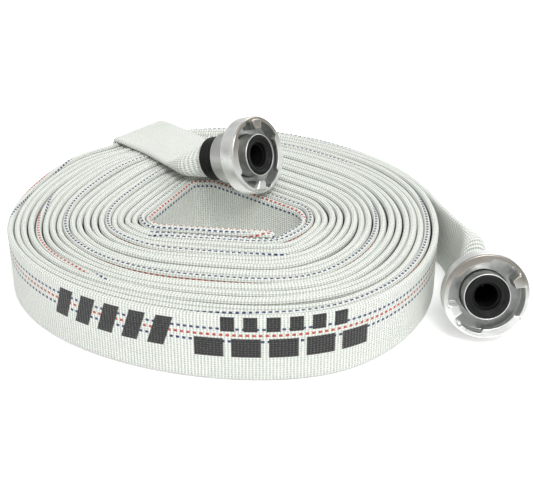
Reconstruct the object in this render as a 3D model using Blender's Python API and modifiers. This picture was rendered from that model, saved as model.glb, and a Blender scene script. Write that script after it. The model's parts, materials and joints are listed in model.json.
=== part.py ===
"""Rolled flat fire hose, 1 inch, with a claw coupling on each end.

The hose is folded in half and rolled up from the fold, so two strands run
side by side from the hole to the outside. Strand A is the inner one of each
pair, strand B the outer one. Seen from above, both wind outwards clockwise.
End B leaves the roll at its right side and its coupling lies on the floor.
End A is folded up the back of the roll and lies across its top.

Metres, +Z up. The origin is on the floor under the middle of the object's
bounding box. Seen from the front, +X is right and +Y is away.
"""
import math

import bmesh
import bpy
from mathutils import Matrix, Vector

# ---- driving dimensions ----------------------------------------------------
ROLL_CENTRE = Vector((-0.0245, -0.0043, 0.0))   # middle of the roll in plan

HOSE_WIDTH = 0.0450          # flat width of the hose, upright in the roll
HOSE_THICK = 0.0038          # flat hose: jacket, lining, lining, jacket
JACKET_WALL = 0.0009
LINING_WALL = 0.0006
FIT_GAP = 0.0003             # between any two neighbouring pieces

TURN_STEP = math.radians(20.0)      # one facet of the roll
STRAND_A_STEPS = 187                # facets from the inner fold to end A
STRAND_B_STEPS = 175                # facets from the inner fold to end B
STRAND_A_LAYER = 0.72               # layer of each strand at the inner fold
STRAND_B_LAYER = 1.72
FOLD_DIRECTION = math.radians(-86.0)
LAYERS = 21.5                       # strands between the hole and the outline

# Corners of the hole, in plan from the roll's centre, and their rounding.
HOLE_CORNERS = ((-0.0400, -0.0190), (-0.0165, 0.0300), (0.0400, -0.0165), (0.0300, -0.0295))
HOLE_ROUNDING = 0.0055
HOLE_SHARPNESS = 260.0

# Outline of the roll: mean radius, then (waves per turn, height, direction).
OUTLINE_RADIUS = 0.1517
OUTLINE_WAVES = ((1, 0.0043, math.radians(-23.0)),
                 (2, 0.0052, math.radians(-98.2)),
                 (3, 0.0028, math.radians(-104.4)),
                 (4, 0.0027, math.radians(93.9)))

FLEX_GAP = 0.0030            # from a bending line of the hose to each side
RIM_HEIGHT = 0.0480          # bending line of end A, over the roll's rim
BACK_FOLD_LOW = 0.0037       # height of the diagonal fold at its near edge
BACK_FOLD_HIGH = 0.0437      # and at its far edge
END_B_STRAIGHT = 0.0260      # end B, from leaving the roll to its bending line

COUPLING_A_FACE = Vector((0.0252, 0.0166, 0.0764))   # from the roll's centre
COUPLING_A_AXIS = Vector((0.755, -0.577, 0.312)).normalized()
COUPLING_B_FACE = Vector((0.1690, -0.1030, 0.0312))
COUPLING_B_AXIS = Vector((0.000, -0.956, 0.292)).normalized()
END_A_PULLS = (0.055, 0.026)  # how far each end of the curve runs straight
END_B_PULLS = (0.024, 0.010)
END_B_LEAN = Vector((0.36, 0.0, 1.0))   # edge to edge across end B at its sleeve
CLAW_ANGLE_A = math.radians(75.0)
CLAW_ANGLE_B = math.radians(25.0)

# Claw coupling, along its axis. Zero is the lug ring's front face.
BORE_RADIUS = 0.0085
SHANK_RADIUS = 0.0106
SHANK_BARB = 0.0006
NECK_RADIUS = 0.0149
SEAL_RADIUS = 0.0139
SEAL_CROWN = 0.0012          # height of the seal's rounded face before the ring
SEAL_DEPTH = 0.0042
SEAT_DEPTH = 0.0046          # floor of the recess behind the seal
FLANGE_RADIUS = 0.0170
FLANGE_FRONT = 0.0070
FLANGE_BACK = 0.0100
CHAMFER = 0.0006
RING_RADIUS = 0.0275
RING_LENGTH = 0.0150
RING_BEVEL = 0.0034
CAVITY_RADIUS = 0.0241
CAVITY_DEPTH = 0.0103
LIP_RADIUS = 0.0216
LIP_FRONT = 0.0004
LIP_BACK = 0.0040
LIP_SWEEP = math.radians(67.5)
RING_BORE = 0.0153
HUB_RADIUS = 0.0186
HUB_LENGTH = 0.0306
CLAW_INNER = 0.0182
CLAW_PROUD = 0.0015
CLAW_SWEEP = math.radians(22.5)
FUSION = 0.0006              # how deep claws and lips reach into the ring
TUBE_RADIUS = 0.0129         # outside of the round hose on the shank
GATHER_LENGTH = 0.0240       # over which the flat hose narrows to the sleeve
SWELL_LENGTH = 0.0420        # over which it opens from flat to round
WIRE_RADIUS = 0.0004
WIRE_TURNS = 5
SLEEVE_RADIUS = 0.0156
SLEEVE_BORE = 0.0143
SNAP_RING_RADIUS = 0.0006
SNAP_RING_PLACE = 0.0319     # these four are measured back from the ring's face
SLEEVE_START = 0.0330
SLEEVE_END = 0.0448
TAIL_LENGTH = 0.0440
TAIL_BARBS = 4

RING_STEPS = 48
TURNED_STEPS = 32
HOSE_STEPS = 16              # round the hose where it is a tube
RUN_STEPS = 11               # along a free end, from its bending line to the sleeve


# ---- scene, materials, small helpers ----------------------------------------
def clear_scene():
    for old in list(bpy.data.objects):
        bpy.data.objects.remove(old)


def make_material(name, colour, roughness, metallic=0.0):
    material = bpy.data.materials.new(name)
    material.use_nodes = True
    shader = material.node_tree.nodes["Principled BSDF"]
    shader.inputs["Base Color"].default_value = (*colour, 1.0)
    shader.inputs["Roughness"].default_value = roughness
    shader.inputs["Metallic"].default_value = metallic
    return material


def make_collection(name):
    collection = bpy.data.collections.new(name)
    bpy.context.scene.collection.children.link(collection)
    return collection


def add_object(name, data, material, parent=None):
    obj = bpy.data.objects.new(name, data)
    HOSE.objects.link(obj)
    obj.parent = parent
    data.materials.clear()
    data.materials.append(material)
    return obj


def add_empty(name, location, rotation=Matrix.Identity(3), parent=None):
    empty = bpy.data.objects.new(name, None)
    empty.empty_display_size = 0.01
    HOSE.objects.link(empty)
    empty.parent = parent
    empty.location = location
    empty.rotation_euler = rotation.to_euler()
    return empty


def shade(mesh, angle=35.0):
    mesh.shade_smooth()
    mesh.set_sharp_from_angle(angle=math.radians(angle))


def blend(a, b, share):
    return a + (b - a) * share


def smooth(share):
    share = min(1.0, max(0.0, share))
    return share * share * (3.0 - 2.0 * share)


# ---- the roll's path in plan -------------------------------------------------
def outward(direction):
    return Vector((math.cos(direction), math.sin(direction), 0.0))


def clockwise(direction):
    return Vector((math.sin(direction), -math.cos(direction), 0.0))


def hole_point(direction):
    """Point of the hole's edge whose outward normal is about this direction."""
    normal = outward(direction)
    corners = [Vector((x, y, 0.0)) for x, y in HOLE_CORNERS]
    reach = [corner.dot(normal) for corner in corners]
    weights = [math.exp(HOLE_SHARPNESS * (r - max(reach))) for r in reach]
    point = Vector((0.0, 0.0, 0.0))
    for corner, weight in zip(corners, weights):
        point += corner * (weight / sum(weights))
    return point + normal * HOLE_ROUNDING


def outline_point(direction):
    """Point of the roll's outline whose outward normal is this direction."""
    reach = OUTLINE_RADIUS
    slope = 0.0
    for waves, height, peak in OUTLINE_WAVES:
        reach += height * math.cos(waves * direction - peak)
        slope -= waves * height * math.sin(waves * direction - peak)
    return outward(direction) * reach - clockwise(direction) * slope


def strand_point(turned, first_layer):
    """Centre of a strand after turning this far clockwise from the inner fold."""
    direction = FOLD_DIRECTION - turned
    layer = first_layer + turned / math.pi
    return blend(hole_point(direction), outline_point(direction), layer / LAYERS)


# ---- ribbon: the flat hose as sections across it ------------------------------
def upright(point, normal):
    """Section of the upright hose: its low edge, its high edge, its normal."""
    low = point.copy()
    low.z = 0.0
    return low, low + Vector((0.0, 0.0, HOSE_WIDTH)), normal


def strand_sections(first_layer, steps, side):
    sections = []
    for i in range(steps + 1):
        turned = i * TURN_STEP
        point = strand_point(turned, first_layer)
        sections.append(upright(point, outward(FOLD_DIRECTION - turned) * side))
    return sections


def inner_fold_sections(low_a, low_b):
    """Half turn that joins the two strands at the middle of the hose."""
    middle = (low_a + low_b) / 2.0
    across = (low_b - low_a) / 2.0
    along = Vector((across.y, -across.x, 0.0))
    if along.dot(clockwise(FOLD_DIRECTION)) > 0.0:
        along = -along
    sections = []
    for quarter in (1, 2, 3):
        angle = quarter * math.pi / 4.0
        swing = along * math.sin(angle) - across * math.cos(angle)
        sections.append(upright(middle + swing, -swing.normalized()))
    return sections


def back_fold_sections():
    """Diagonal fold behind the roll that turns strand A upwards."""
    direction = FOLD_DIRECTION - STRAND_A_STEPS * TURN_STEP
    start = strand_point(STRAND_A_STEPS * TURN_STEP, STRAND_A_LAYER)
    along = clockwise(direction)
    out = outward(direction)
    up = Vector((0.0, 0.0, 1.0))
    foot = start + along * FIT_GAP
    low = foot + up * BACK_FOLD_LOW
    high = foot + along * HOSE_WIDTH + up * BACK_FOLD_HIGH
    radius = HOSE_THICK / 2.0 + FIT_GAP
    away = (along - up).normalized()
    shift = out * radius + away * radius
    lift = out * (2.0 * radius)
    top = RIM_HEIGHT - FLEX_GAP
    left_top = foot + lift + up * top
    right_top = left_top + along * HOSE_WIDTH
    return [
        (left_top, right_top, -out),
        (low + lift, high + lift, -out),
        (low + shift, high + shift, -away),
        (low, high, out),
    ]


def ring_of_section(section, half_thick, inset):
    low, high, normal = section
    edge = (high - low).normalized()
    low = low + edge * inset
    high = high - edge * inset
    return [low + normal * half_thick, high + normal * half_thick,
            high - normal * half_thick, low - normal * half_thick]


def loft(name, outer_rings, inner_rings=None):
    """Closed mesh through rings of points, hollow where inner rings are given."""
    mesh = bpy.data.meshes.new(name)
    shape = bmesh.new()
    count = len(outer_rings[0])
    skins = [outer_rings] if inner_rings is None else [outer_rings, inner_rings]
    made = []
    for rings in skins:
        made.append([[shape.verts.new(point) for point in ring] for ring in rings])
    for skin in made:
        for here, after in zip(skin, skin[1:]):
            for k in range(count):
                m = (k + 1) % count
                shape.faces.new((here[k], here[m], after[m], after[k]))
    for end in (0, -1):
        if inner_rings is None:
            shape.faces.new(made[0][end])
            continue
        for k in range(count):
            m = (k + 1) % count
            shape.faces.new((made[0][end][k], made[0][end][m], made[1][end][m], made[1][end][k]))
    bmesh.ops.recalc_face_normals(shape, faces=shape.faces)
    shape.to_mesh(mesh)
    shape.free()
    return mesh


def turned_object(name, profile, steps, material, parent):
    """Solid of revolution about the parent's Z. The profile lists (radius, height)
    down the outer side and back up the inner side, and closes on itself."""
    mesh = bpy.data.meshes.new(name)
    shape = bmesh.new()
    points = [shape.verts.new((radius, 0.0, height)) for radius, height in profile]
    for here, after in zip(points, points[1:] + points[:1]):
        shape.edges.new((here, after))
    shape.to_mesh(mesh)
    shape.free()
    obj = add_object(name, mesh, material, parent)
    screw = obj.modifiers.new("Turn", "SCREW")
    screw.axis = "Z"
    screw.steps = steps
    screw.render_steps = steps
    screw.use_merge_vertices = True
    screw.merge_threshold = 0.00001
    screw.use_smooth_shade = True
    return obj


def wire_object(name, points, radius, material, parent):
    """Round wire through the points, with closed ends."""
    curve = bpy.data.curves.new(name, "CURVE")
    curve.dimensions = "3D"
    curve.bevel_depth = radius
    curve.bevel_resolution = 1
    curve.use_fill_caps = True
    spline = curve.splines.new("POLY")
    spline.points.add(len(points) - 1)
    for slot, point in zip(spline.points, points):
        slot.co = (*point, 1.0)
    return add_object(name, curve, material, parent)


def arc_block(name, inner, outer, low, high, middle, width, parent):
    """Block of a ring: a stretch of it about the angle called middle."""
    steps = max(2, round(width / math.radians(7.5)))
    rings = []
    for i in range(steps + 1):
        angle = middle + width * (i / steps - 0.5)
        ray = Vector((math.cos(angle), math.sin(angle), 0.0))
        floor = Vector((0.0, 0.0, low))
        roof = Vector((0.0, 0.0, high))
        rings.append([ray * inner + floor, ray * outer + floor, ray * outer + roof, ray * inner + roof])
    obj = bpy.data.objects.new(name, loft(name, rings))
    TOOLS.objects.link(obj)
    obj.parent = parent
    obj.hide_render = True
    obj.display_type = "WIRE"
    return obj


# ---- the hose ----------------------------------------------------------------
def roll_sections():
    """The rolled hose from its bending line at end A to the one at end B."""
    strand_a = strand_sections(STRAND_A_LAYER, STRAND_A_STEPS, 1.0)
    strand_b = strand_sections(STRAND_B_LAYER, STRAND_B_STEPS, -1.0)
    fold = inner_fold_sections(strand_a[0][0], strand_b[0][0])
    leaving = FOLD_DIRECTION - STRAND_B_STEPS * TURN_STEP
    last = strand_b[-1][0] + clockwise(leaving) * END_B_STRAIGHT
    exit_section = upright(last, -outward(leaving))
    return back_fold_sections() + strand_a[::-1] + fold + strand_b + [exit_section]


def build_roll():
    half = HOSE_THICK / 2.0
    slot_half = half - JACKET_WALL
    lining_half = slot_half - FIT_GAP
    sections = roll_sections()
    outer = [ring_of_section(s, half, 0.0) for s in sections]
    slot = [ring_of_section(s, slot_half, JACKET_WALL) for s in sections]
    strip = [ring_of_section(s, lining_half, JACKET_WALL + FIT_GAP) for s in sections]
    jacket = add_object("hose_jacket", loft("hose_jacket", outer, slot), FABRIC, ROLL)
    lining = add_object("hose_lining", loft("hose_lining", strip), RUBBER, ROLL)
    shade(jacket.data)
    shade(lining.data)


def section_shape(half_width, half_height, squareness):
    """Rounded outline of the hose across its run, as (sideways, up) pairs."""
    pairs = []
    for k in range(HOSE_STEPS):
        angle = 2.0 * math.pi * k / HOSE_STEPS
        side = math.cos(angle)
        rise = math.sin(angle)
        pairs.append((half_width * math.copysign(abs(side) ** (2.0 / squareness), side),
                      half_height * math.copysign(abs(rise) ** (2.0 / squareness), rise)))
    return pairs


def bezier(points, share):
    """Place and direction on a cubic curve with these four control points."""
    p0, p1, p2, p3 = points
    rest = 1.0 - share
    place = p0 * rest ** 3 + p1 * (3 * rest * rest * share)
    place += p2 * (3 * rest * share * share) + p3 * share ** 3
    run = (p1 - p0) * rest * rest + (p2 - p1) * (2 * rest * share) + (p3 - p2) * share * share
    return place, run.normalized()


def square_to(run, across):
    return (across - run * across.dot(run)).normalized()


def end_run(start, start_run, start_across, face, axis, end_across, pulls, floor):
    """Sections along a free end: place, run, across, half width, half height.
    The hose stays flat until close to the sleeve and nowhere dips below floor."""
    finish = face - axis * SLEEVE_END
    control = (start, start + start_run * pulls[0], finish - axis * pulls[1], finish)
    sections = []
    for i in range(RUN_STEPS + 1):
        share = 1.0 - (1.0 - i / RUN_STEPS) ** 1.4
        place, run = bezier(control, share)
        across = square_to(run, blend(start_across, end_across, smooth(share)))
        left = (finish - place).length
        half_width = blend(TUBE_RADIUS, HOSE_WIDTH / 2.0, smooth(left / GATHER_LENGTH))
        half_height = blend(TUBE_RADIUS, HOSE_THICK / 2.0, smooth(left / SWELL_LENGTH))
        rise = run.cross(across)
        reach = math.hypot(half_width * across.z, half_height * rise.z)
        place.z = max(place.z, floor + reach)
        sections.append((place, run, across, half_width, half_height))
    across = square_to(axis, end_across)
    for depth in (SLEEVE_END - 0.005, SLEEVE_START + FIT_GAP):
        sections.append((face - axis * depth, axis, across, TUBE_RADIUS, TUBE_RADIUS))
    return sections


def end_rings(sections, inset):
    """Rings of points round the free end, this far inside its outer skin."""
    rings = []
    for place, run, across, half_width, half_height in sections:
        rise = run.cross(across)
        squareness = 2.0 + 3.0 * (1.0 - half_height / half_width)
        shape = section_shape(half_width - inset, half_height - inset, squareness)
        rings.append([place + across * side + rise * up for side, up in shape])
    return rings


def build_hose_end(letter, sections, parent):
    lining_outer = JACKET_WALL + FIT_GAP
    lining_inner = lining_outer + LINING_WALL
    to_parent = parent.matrix_world.inverted()
    skins = {}
    for depth in (0.0, JACKET_WALL, lining_outer, lining_inner):
        skins[depth] = [[to_parent @ point for point in ring] for ring in end_rings(sections, depth)]
    jacket_name = f"end_{letter}_jacket"
    lining_name = f"end_{letter}_lining"
    jacket_mesh = loft(jacket_name, skins[0.0], skins[JACKET_WALL])
    lining_mesh = loft(lining_name, skins[lining_outer], skins[lining_inner])
    shade(jacket_mesh)
    shade(lining_mesh)
    add_object(jacket_name, jacket_mesh, FABRIC, parent)
    add_object(lining_name, lining_mesh, RUBBER, parent)


# ---- the claw coupling --------------------------------------------------------
def tailpiece_profile():
    """Tail with a thin seal lip in front, a flange for the lug ring, a groove for
    the snap ring and a barbed shank in the hose."""
    rim = 0.0010
    groove = NECK_RADIUS - 0.0010
    groove_front = -SNAP_RING_PLACE + SNAP_RING_RADIUS + 0.0002
    groove_back = -SNAP_RING_PLACE - SNAP_RING_RADIUS - 0.0001
    profile = [(NECK_RADIUS - 0.0003, rim), (NECK_RADIUS, rim - 0.0004), (NECK_RADIUS, -FLANGE_FRONT),
               (FLANGE_RADIUS, -FLANGE_FRONT), (FLANGE_RADIUS, -FLANGE_BACK),
               (NECK_RADIUS, -FLANGE_BACK), (NECK_RADIUS, groove_front),
               (groove, groove_front), (groove, groove_back),
               (SHANK_RADIUS, -SLEEVE_START + 0.0002)]
    pitch = (TAIL_LENGTH - SLEEVE_START) / TAIL_BARBS
    for i in range(TAIL_BARBS):
        top = -SLEEVE_START - i * pitch
        profile.append((SHANK_RADIUS, top - 0.6 * pitch))
        profile.append((SHANK_RADIUS - SHANK_BARB, top - pitch))
    profile += [(BORE_RADIUS, -TAIL_LENGTH), (BORE_RADIUS, -SEAT_DEPTH),
                (SEAL_RADIUS + FIT_GAP, -SEAT_DEPTH), (SEAL_RADIUS + FIT_GAP, rim)]
    return profile


def seal_profile():
    shoulder = SEAL_CROWN - 0.0008
    return [(SEAL_RADIUS - CHAMFER, SEAL_CROWN), (SEAL_RADIUS, shoulder), (SEAL_RADIUS, -SEAL_DEPTH),
            (BORE_RADIUS + 0.0006, -SEAL_DEPTH), (BORE_RADIUS + 0.0004, -shoulder),
            (BORE_RADIUS + 0.0012, shoulder), (BORE_RADIUS + 0.0030, SEAL_CROWN)]


def lug_ring_profile():
    return [(RING_RADIUS - CHAMFER, 0.0), (RING_RADIUS, -CHAMFER),
            (RING_RADIUS, -RING_LENGTH + RING_BEVEL),
            (RING_RADIUS - RING_BEVEL, -RING_LENGTH), (HUB_RADIUS, -RING_LENGTH),
            (HUB_RADIUS, -HUB_LENGTH), (RING_BORE, -HUB_LENGTH), (RING_BORE, -CAVITY_DEPTH),
            (CAVITY_RADIUS, -CAVITY_DEPTH), (CAVITY_RADIUS, 0.0)]


def sleeve_profile():
    return [(SLEEVE_RADIUS - 0.0004, -SLEEVE_START), (SLEEVE_RADIUS, -SLEEVE_START - 0.0004),
            (SLEEVE_RADIUS, -SLEEVE_END + 0.0008), (SLEEVE_RADIUS - 0.0008, -SLEEVE_END),
            (SLEEVE_BORE, -SLEEVE_END), (SLEEVE_BORE, -SLEEVE_START)]


def circle_points(radius, height, start, sweep, steps):
    points = []
    for i in range(steps + 1):
        angle = start + sweep * i / steps
        points.append((radius * math.cos(angle), radius * math.sin(angle), height))
    return points


def build_snap_ring(name, parent):
    points = circle_points(NECK_RADIUS + 0.0001, -SNAP_RING_PLACE,
                           math.radians(10.0), math.radians(335.0), 24)
    wire_object(name, points, SNAP_RING_RADIUS, STEEL, parent)


def build_binding_wire(name, parent):
    steps = 14 * WIRE_TURNS
    first = -SLEEVE_START - 0.0010
    last = -SLEEVE_END + 0.0012
    radius = TUBE_RADIUS + WIRE_RADIUS + FIT_GAP
    points = []
    for i in range(steps + 1):
        angle = 2.0 * math.pi * WIRE_TURNS * i / steps
        points.append((radius * math.cos(angle), radius * math.sin(angle), blend(first, last, i / steps)))
    wire_object(name, points, WIRE_RADIUS, STEEL, parent)


def build_lug_ring(name, claw_angle, parent):
    """Ring with two claws and, between them, two lips that hold the other
    coupling's claws. It swivels on the tailpiece."""
    ring = turned_object(name, lug_ring_profile(), RING_STEPS, ALUMINIUM, parent)
    blocks = []
    for side in (0.0, math.pi):
        claw = claw_angle + side
        blocks.append(arc_block(f"{name}_claw_{len(blocks)}", CLAW_INNER, CAVITY_RADIUS + FUSION,
                                -CAVITY_DEPTH - FUSION, CLAW_PROUD, claw, CLAW_SWEEP, parent))
        lip = claw + math.radians(90.0)
        blocks.append(arc_block(f"{name}_lip_{len(blocks)}", LIP_RADIUS, CAVITY_RADIUS + FUSION,
                                -LIP_BACK, -LIP_FRONT, lip, LIP_SWEEP, parent))
    for block in blocks:
        join = ring.modifiers.new("Join", "BOOLEAN")
        join.operation = "UNION"
        join.solver = "EXACT"
        join.object = block
    return ring


def axis_frame(face, axis):
    """Rotation whose Z is the coupling's axis and whose X is level."""
    level = Vector((0.0, 0.0, 1.0)).cross(axis).normalized()
    upward = axis.cross(level)
    return Matrix((level, upward, axis)).transposed()


def build_coupling(letter, face, axis, claw_angle, hinge):
    frame = add_empty(f"coupling_{letter}_axis", hinge.matrix_world.inverted() @ face,
                      axis_frame(face, axis), hinge)
    bpy.context.view_layer.update()
    name = f"coupling_{letter}"
    turned_object(f"{name}_tailpiece", tailpiece_profile(), TURNED_STEPS, ALUMINIUM, frame)
    turned_object(f"{name}_seal", seal_profile(), TURNED_STEPS, RUBBER, frame)
    turned_object(f"{name}_sleeve", sleeve_profile(), TURNED_STEPS, RUBBER, frame)
    build_lug_ring(f"{name}_lug_ring", claw_angle, frame)
    build_snap_ring(f"{name}_snap_ring", frame)
    build_binding_wire(f"{name}_binding_wire", frame)


# ---- assembly -------------------------------------------------------------------
def build_end_a():
    direction = FOLD_DIRECTION - STRAND_A_STEPS * TURN_STEP
    along = clockwise(direction)
    out = outward(direction)
    left_top, right_top, _ = back_fold_sections()[0]
    rim = (left_top + right_top) / 2.0
    rim.z = RIM_HEIGHT
    hinge = add_empty("end_a_bending_line", rim, parent=ROLL)
    bpy.context.view_layer.update()
    offset = ROLL.matrix_world
    level = Vector((0.0, 0.0, 1.0)).cross(COUPLING_A_AXIS).normalized()
    sections = end_run(offset @ (rim - out * FLEX_GAP), -out, along,
                       offset @ COUPLING_A_FACE, COUPLING_A_AXIS, level,
                       END_A_PULLS, HOSE_WIDTH + 2.0 * FIT_GAP)
    build_hose_end("a", sections, hinge)
    build_coupling("a", offset @ COUPLING_A_FACE, COUPLING_A_AXIS, CLAW_ANGLE_A, hinge)


def build_end_b():
    leaving = FOLD_DIRECTION - STRAND_B_STEPS * TURN_STEP
    run = clockwise(leaving)
    last = strand_point(STRAND_B_STEPS * TURN_STEP, STRAND_B_LAYER)
    line = last + run * (END_B_STRAIGHT + FLEX_GAP)
    line.z = HOSE_WIDTH / 2.0
    hinge = add_empty("end_b_bending_line", line, parent=ROLL)
    bpy.context.view_layer.update()
    offset = ROLL.matrix_world
    sections = end_run(offset @ (line + run * FLEX_GAP), run, Vector((0.0, 0.0, 1.0)),
                       offset @ COUPLING_B_FACE, COUPLING_B_AXIS, END_B_LEAN,
                       END_B_PULLS, 2.0 * FIT_GAP)
    build_hose_end("b", sections, hinge)
    build_coupling("b", offset @ COUPLING_B_FACE, COUPLING_B_AXIS, CLAW_ANGLE_B, hinge)


clear_scene()
HOSE = make_collection("rolled_fire_hose")
TOOLS = make_collection("joining_blocks")
FABRIC = make_material("woven_jacket", (0.74, 0.79, 0.75), 0.85)
RUBBER = make_material("black_rubber", (0.02, 0.02, 0.022), 0.55)
ALUMINIUM = make_material("cast_aluminium", (0.72, 0.73, 0.72), 0.38, 1.0)
STEEL = make_material("steel_wire", (0.55, 0.56, 0.57), 0.35, 1.0)
ROLL = add_empty("roll_centre", ROLL_CENTRE)
bpy.context.view_layer.update()
build_roll()
build_end_a()
build_end_b()
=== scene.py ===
"""Looks of the rolled fire hose: woven cloth, cast couplings, floor, light, camera.

The roll follows the same path as the CAD strip, with finer steps. The strip is a
closed tube of cloth pressed flat. Its first UV map is the cloth itself, in
metres: U along the hose, V round it from the upper edge. The second one is
the same cloth with V measured from the red stripe.

Metres, +Z up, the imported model's frame.
"""
import json
import math

import bpy
from mathutils import Matrix, Vector

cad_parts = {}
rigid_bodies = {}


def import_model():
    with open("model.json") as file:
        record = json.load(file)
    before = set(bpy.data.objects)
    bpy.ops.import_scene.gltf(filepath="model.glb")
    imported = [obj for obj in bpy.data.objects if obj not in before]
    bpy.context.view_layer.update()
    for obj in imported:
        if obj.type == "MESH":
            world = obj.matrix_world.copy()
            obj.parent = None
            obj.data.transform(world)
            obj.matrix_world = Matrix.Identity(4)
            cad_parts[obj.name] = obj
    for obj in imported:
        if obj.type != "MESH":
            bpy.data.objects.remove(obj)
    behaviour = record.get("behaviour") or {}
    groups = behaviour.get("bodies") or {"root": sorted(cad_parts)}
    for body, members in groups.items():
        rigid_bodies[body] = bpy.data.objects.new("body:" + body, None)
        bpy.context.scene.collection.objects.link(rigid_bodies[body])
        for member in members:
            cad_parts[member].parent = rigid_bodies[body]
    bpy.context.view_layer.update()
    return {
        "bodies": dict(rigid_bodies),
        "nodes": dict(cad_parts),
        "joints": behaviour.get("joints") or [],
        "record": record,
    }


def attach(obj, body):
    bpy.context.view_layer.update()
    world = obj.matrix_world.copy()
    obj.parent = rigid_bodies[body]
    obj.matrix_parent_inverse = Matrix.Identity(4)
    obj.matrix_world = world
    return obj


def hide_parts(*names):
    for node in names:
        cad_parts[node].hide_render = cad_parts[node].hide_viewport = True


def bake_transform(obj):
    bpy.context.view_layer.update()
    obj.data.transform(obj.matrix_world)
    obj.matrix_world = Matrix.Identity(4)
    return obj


UP = Vector((0.0, 0.0, 1.0))

# ---- the roll, as in the CAD part ----------------------------------------------------
ROLL_CENTRE = Vector((-0.0245, -0.0043, 0.0))
HOSE_WIDTH = 0.0450
HOSE_THICK = 0.0038
FIT_GAP = 0.0003
TURN_A = math.radians(3740.0)
TURN_B = math.radians(3500.0)
LAYER_A = 0.72
LAYER_B = 1.72
FOLD_DIRECTION = math.radians(-86.0)
LAYERS = 21.5
HOLE_CORNERS = ((-0.0400, -0.0190), (-0.0165, 0.0300), (0.0400, -0.0165), (0.0300, -0.0295))
HOLE_ROUNDING = 0.0055
HOLE_SHARPNESS = 260.0
OUTLINE_RADIUS = 0.1517
OUTLINE_WAVES = ((1, 0.0043, math.radians(-23.0)),
                 (2, 0.0052, math.radians(-98.2)),
                 (3, 0.0028, math.radians(-104.4)),
                 (4, 0.0027, math.radians(93.9)))
FLEX_GAP = 0.0030
RIM_HEIGHT = 0.0480
BACK_FOLD_LOW = 0.0037
BACK_FOLD_HIGH = 0.0437
END_B_STRAIGHT = 0.0260
COUPLING_A_FACE = Vector((0.0252, 0.0166, 0.0764))
COUPLING_A_AXIS = Vector((0.755, -0.577, 0.312)).normalized()
COUPLING_B_FACE = Vector((0.1690, -0.1030, 0.0312))
COUPLING_B_AXIS = Vector((0.000, -0.956, 0.292)).normalized()
CLAW_ANGLE_A = math.radians(75.0)
CLAW_ANGLE_B = math.radians(25.0)

# ---- finer shape of the strip --------------------------------------------------------
CLOTH_ROUND = 0.0900         # length of cloth round the hose
TURN_STEP = math.radians(2.5)
RING_HALF = 18               # points down each side of the strip
FRONT_TURN = math.radians(3602.0)    # turning of strand A from which the print's places count
PACKING = 0.93               # strip thickness as a share of the room it has
PAIRING = 0.14               # how far loose strands of a pair close up
TIGHT_SPACING = 0.0038       # spacing at which there is no slack left
PINCH = 0.16                 # how much thinner the strip is between its edges
RIPPLE = 0.00034             # sideways waviness of the strands
RIPPLE_SLACK = 0.0008        # slack from which it is full
EDGE_RIPPLE = 0.0007         # unevenness of their upper edges
GAP_SHADE_DEPTH = 0.0060        # cloth from an edge down to where no light reaches
GAP_SHADE_START = 0.3           # share of that depth which is still fully lit
OUTSIDE_LEAD = math.radians(12.0)    # turning before and over which a strand comes outside
HOLE_TURN = math.radians(330.0)      # turning for which strand A faces the hole
HOLE_FADE = math.radians(20.0)
FOLD_BULGE = 1.5             # reach of the inner fold, in half distances of its strands
FOLD_STEPS = 12
BACK_FOLD_STEPS = 8          # sections in each of the fold's two fans and in its turn
BEND_STEPS = 8               # sections round end A's bending line
EXIT_STEPS = 8               # sections along end B's straight piece

# ---- free ends -----------------------------------------------------------------------
RIM_SKEW = math.radians(-12.0)       # how far end A's bending line is askew to the rim
SKEW_RUN = 0.0300            # over which it comes square again
END_A_HEADING = math.radians(-41.0)      # its direction from the rim
RIM_DROP_NEAR = 0.0039       # how far end A sinks at the rim, at its near edge
RIM_DROP_FAR = -0.0034       # and at its far edge
PRESS_DEPTH = 0.0042         # how far it presses the strands down at that corner
PRESS_REACH = 0.0300
END_A_PULLS = (0.0550, 0.0260)       # how far end A runs on straight, at the rim and the sleeve
END_A_GATHER = 0.0130        # length over which its width gathers before the sleeve
END_A_SWELL = 0.0320         # and over which it rounds out
END_A_TUCK = 0.0005          # how far it may sink below its level at the rim
END_A_RISE = 0.0012          # how far it stays above the roll further on
END_B_PULLS = (0.0240, 0.0100)
END_B_GATHER = 0.0180
END_B_SWELL = 0.0360
END_B_LEAN = Vector((0.36, 0.0, 1.0))    # the way its flat side leans at the sleeve
END_STEPS = 60
END_CROWDING = 1.4           # crowds the sections towards the sleeve
FLOOR_RUN = 0.0550           # distance from the start to where the second floor counts
PLEAT_COUNT = 9              # gathers round the hose where it enters the sleeve
PLEAT_DEPTH = 0.035
PLEAT_REACH = 0.8            # their length, as a share of the gathering
SLEEVE_TUCK = 0.0050         # how far the cloth goes on inside the sleeve

# ---- couplings -----------------------------------------------------------------------
BORE_RADIUS = 0.0085
NECK_RADIUS = 0.0149
SEAL_RADIUS = 0.0141
RING_RADIUS = 0.0275
RING_LENGTH = 0.0150
RING_BEVEL = 0.0034
CAVITY_RADIUS = 0.0241
CAVITY_DEPTH = 0.0103
LIP_RADIUS = 0.0214
LIP_FRONT = 0.0003
LIP_BACK = 0.0042
LIP_SWEEP = math.radians(62.0)
CLAW_INNER = 0.0184
CLAW_PROUD = 0.0015
CLAW_SWEEP = math.radians(20.0)
NOTCH_OFFSET = math.radians(22.0)
NOTCH_SWEEP = math.radians(9.0)
NOTCH_DEPTH = 0.0013
RING_BORE = 0.0153
HUB_RADIUS = 0.0186
HUB_LENGTH = 0.0306
TUBE_RADIUS = 0.0129
SLEEVE_RADIUS = 0.0156
SLEEVE_START = 0.0330
SLEEVE_END = 0.0448
TAIL_LENGTH = 0.0440
BINDING_TURNS = 5
RING_STEPS = 240             # steps round the lug ring
LATHE_STEPS = 96             # and round the plainer turned parts
BORE_STEPS = 64
CORNER_SHARES = (0.0, 0.33, 0.67, 1.0)   # points that round off one corner
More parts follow.
